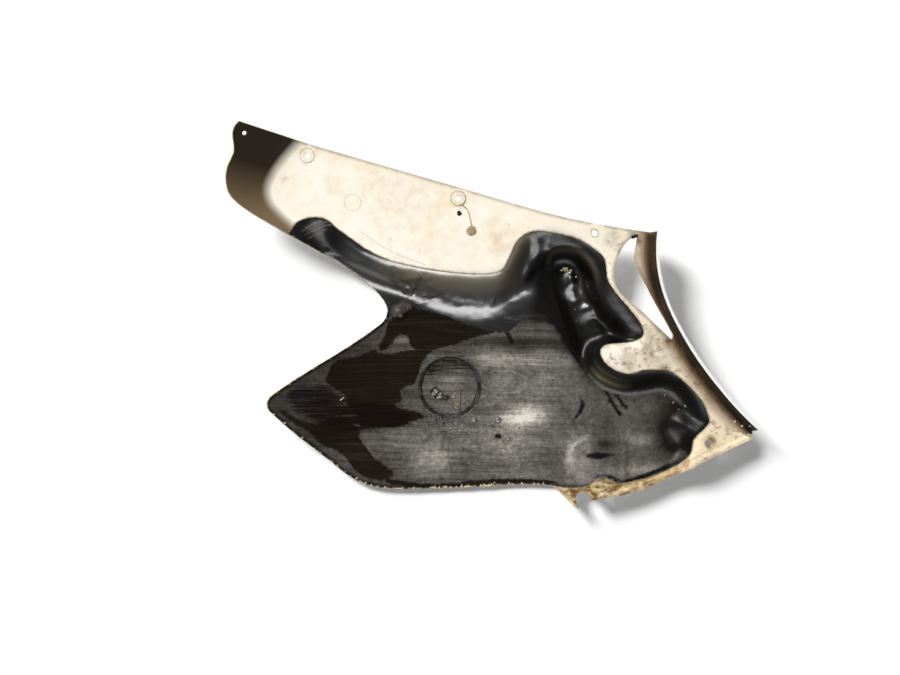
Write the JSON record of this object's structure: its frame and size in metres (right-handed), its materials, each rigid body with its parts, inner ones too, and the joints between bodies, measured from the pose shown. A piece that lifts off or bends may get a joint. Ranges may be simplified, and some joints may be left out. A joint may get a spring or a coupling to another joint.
{
  "type": "motorcycle belly pan",
  "caption": "Left-hand half of a motorcycle belly pan: thin moulded shell with a raised upper panel, bulged belly, air slot, front wall and bottom flange, bolted along its upper edge.",
  "frame": {"origin": "midway between the two upper fixing holes, on the faces of their seats", "axes": "+X forward along the line of the two upper fixings, +Y up the motorcycle, +Z towards the engine side"},
  "size_m": [0.6667, 0.3719, 0.0758],
  "materials": {
    "moulding": "bare cream moulding, brushed black heat coat on the engine side"
  },
  "bodies": {
    "root": {"belly_pan": "moulding"}
  },
  "joints": []
}
